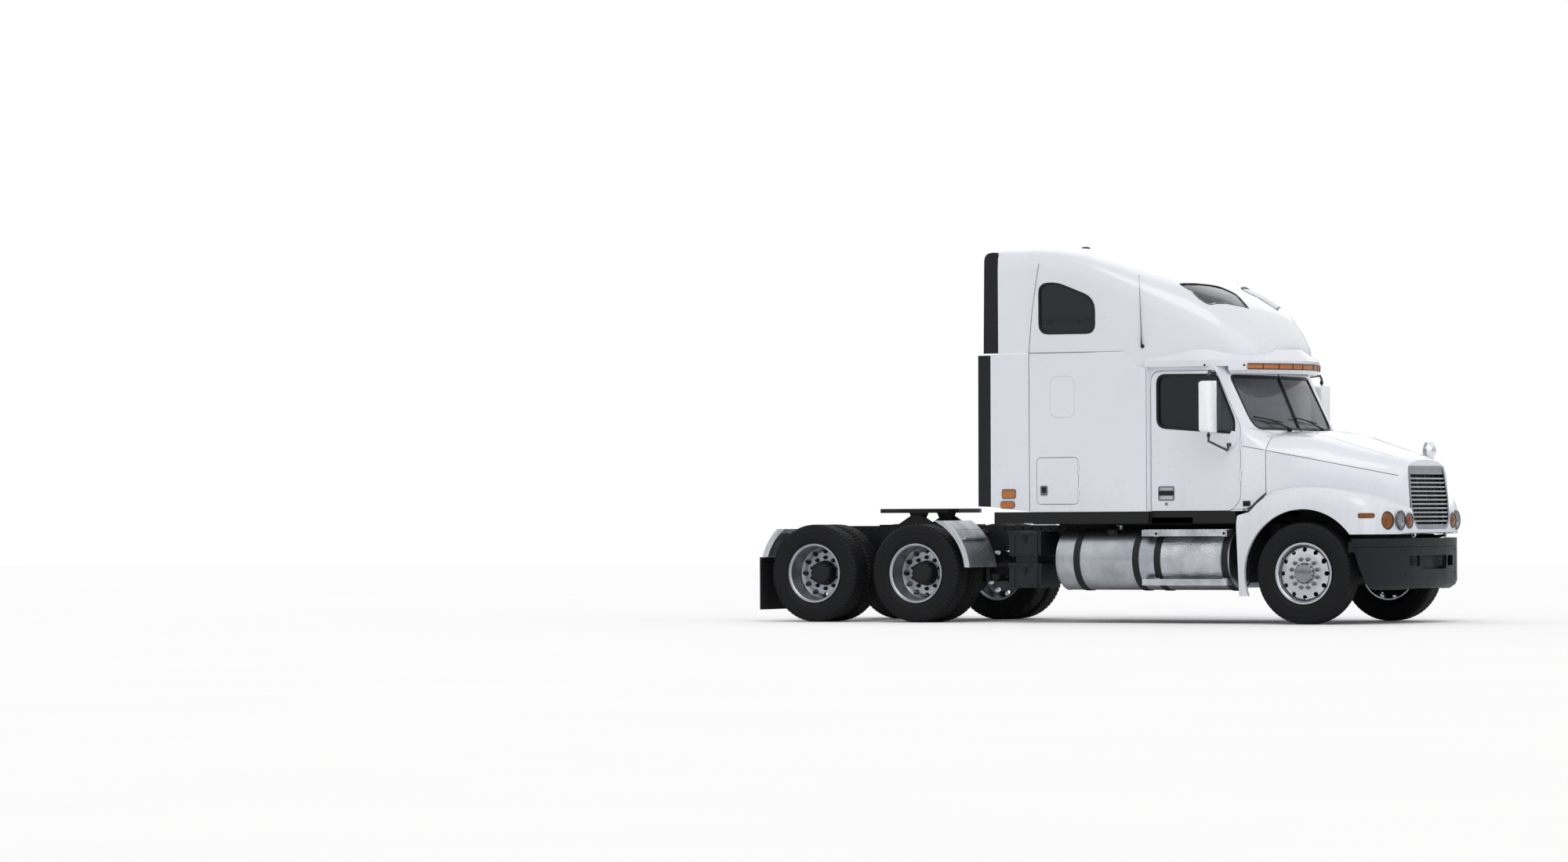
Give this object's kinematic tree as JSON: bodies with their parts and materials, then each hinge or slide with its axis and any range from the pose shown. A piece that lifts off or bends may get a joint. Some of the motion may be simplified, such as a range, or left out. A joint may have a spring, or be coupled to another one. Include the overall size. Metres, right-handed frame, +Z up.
{
  "type": "semi truck tractor unit",
  "caption": "Long-nosed three-axle road tractor with short sleeper, raised roof, tilting hood, opening doors, steered front wheels and a tilting fifth wheel.",
  "frame": {"origin": "middle of the bounding box on the ground", "axes": "+X forward, +Y to the vehicle's left, +Z up"},
  "size_m": [7.395, 3.0132, 3.995],
  "materials": {
    "white_paint": "gloss",
    "black_frame": "satin",
    "cast_engine": "matte",
    "dark_plastic": "matte",
    "aluminium": "brushed",
    "tyre": "matte",
    "black_rubber": "matte",
    "lamp_lens": "gloss",
    "dark_glass": "gloss",
    "trim_fabric": "matte",
    "dash_plastic": "matte",
    "grille_metal": "satin",
    "lamp_glass": "gloss",
    "chrome": "polished"
  },
  "bodies": {
    "chassis": {"frame": "black_frame", "steer_axle": "black_frame", "drive_axles": "black_frame", "springs": "black_frame", "engine": "cast_engine", "driveline": "black_frame", "bumper": "dark_plastic", "fuel_tanks": "aluminium", "tank_straps": "black_frame", "tank_steps": "aluminium", "equipment_boxes": "dark_plastic", "quarter_fenders": "aluminium", "mud_flaps": "black_rubber", "coupler_mount": "black_frame", "lamps": "lamp_lens", "cab_shell": "white_paint", "fixed_glass": "dark_glass", "sleeper_shell": "white_paint", "roof_cap": "white_paint", "side_fairings": "white_paint", "fairing_edges": "black_rubber", "sill": "black_frame", "seats": "trim_fabric", "dashboard": "dash_plastic"},
    "hood": {"hood_shell": "white_paint", "grille": "grille_metal", "headlamps": "lamp_glass", "hood_mirror": "chrome"},
    "right_door": {"door_right": "white_paint", "door_glass_right": "dark_glass", "mirror_right": "white_paint"},
    "left_door": {"door_left": "white_paint", "door_glass_left": "dark_glass", "mirror_left": "white_paint"},
    "right_knuckle": {"knuckle_right": "black_frame"},
    "left_knuckle": {"knuckle_left": "black_frame"},
    "right_front_wheel": {"front_rim_right": "aluminium", "front_tyre_right": "tyre"},
    "left_front_wheel": {"front_rim_left": "aluminium", "front_tyre_left": "tyre"},
    "right_fore_wheels": {"fore_rims_right": "aluminium", "fore_tyres_right": "tyre"},
    "left_fore_wheels": {"fore_rims_left": "aluminium", "fore_tyres_left": "tyre"},
    "right_aft_wheels": {"aft_rims_right": "aluminium", "aft_tyres_right": "tyre"},
    "left_aft_wheels": {"aft_rims_left": "aluminium", "aft_tyres_left": "tyre"},
    "right_baggage_door": {"baggage_door_right": "white_paint"},
    "left_baggage_door": {"baggage_door_left": "white_paint"},
    "fifth_wheel": {"coupler_plate": "black_frame"}
  },
  "joints": [
    {"name": "hood_tilt", "type": "hinge", "parent": "chassis", "child": "hood", "pos_m": [3.6425, 0, 0.91], "axis": [0, 1, 0], "range_deg": [0, 60]},
    {"name": "right_door_hinge", "type": "hinge", "parent": "chassis", "child": "right_door", "pos_m": [2.0265, -1.14, 1.7], "axis": [0, 0, 1], "range_deg": [0, 70]},
    {"name": "right_baggage_hinge", "type": "hinge", "parent": "chassis", "child": "right_baggage_door", "pos_m": [0.1705, -1.2, 1.5], "axis": [0, 0, 1], "range_deg": [0, 95]},
    {"name": "right_steer", "type": "hinge", "parent": "chassis", "child": "right_knuckle", "pos_m": [2.7505, -0.89, 0.525], "axis": [0, 0, 1], "range_deg": [-35, 35]},
    {"name": "right_front_spin", "type": "hinge", "parent": "right_knuckle", "child": "right_front_wheel", "pos_m": [2.7505, -1.06, 0.525], "axis": [0, 1, 0], "continuous": true},
    {"name": "right_fore_spin", "type": "hinge", "parent": "chassis", "child": "right_fore_wheels", "pos_m": [-1.7875, -0.927, 0.525], "axis": [0, 1, 0], "continuous": true},
    {"name": "right_aft_spin", "type": "hinge", "parent": "chassis", "child": "right_aft_wheels", "pos_m": [-3.0375, -0.927, 0.525], "axis": [0, 1, 0], "continuous": true},
    {"name": "left_door_hinge", "type": "hinge", "parent": "chassis", "child": "left_door", "pos_m": [2.0265, 1.14, 1.7], "axis": [0, 0, -1], "range_deg": [0, 70]},
    {"name": "left_baggage_hinge", "type": "hinge", "parent": "chassis", "child": "left_baggage_door", "pos_m": [0.1705, 1.2, 1.5], "axis": [0, 0, -1], "range_deg": [0, 95]},
    {"name": "left_steer", "type": "hinge", "parent": "chassis", "child": "left_knuckle", "pos_m": [2.7505, 0.89, 0.525], "axis": [0, 0, 1], "range_deg": [-35, 35]},
    {"name": "left_front_spin", "type": "hinge", "parent": "left_knuckle", "child": "left_front_wheel", "pos_m": [2.7505, 1.06, 0.525], "axis": [0, 1, 0], "continuous": true},
    {"name": "left_fore_spin", "type": "hinge", "parent": "chassis", "child": "left_fore_wheels", "pos_m": [-1.7875, 0.927, 0.525], "axis": [0, 1, 0], "continuous": true},
    {"name": "left_aft_spin", "type": "hinge", "parent": "chassis", "child": "left_aft_wheels", "pos_m": [-3.0375, 0.927, 0.525], "axis": [0, 1, 0], "continuous": true},
    {"name": "fifth_wheel_tilt", "type": "hinge", "parent": "chassis", "child": "fifth_wheel", "pos_m": [-2.2325, 0, 1.1], "axis": [0, 1, 0], "range_deg": [-12, 12]}
  ]
}
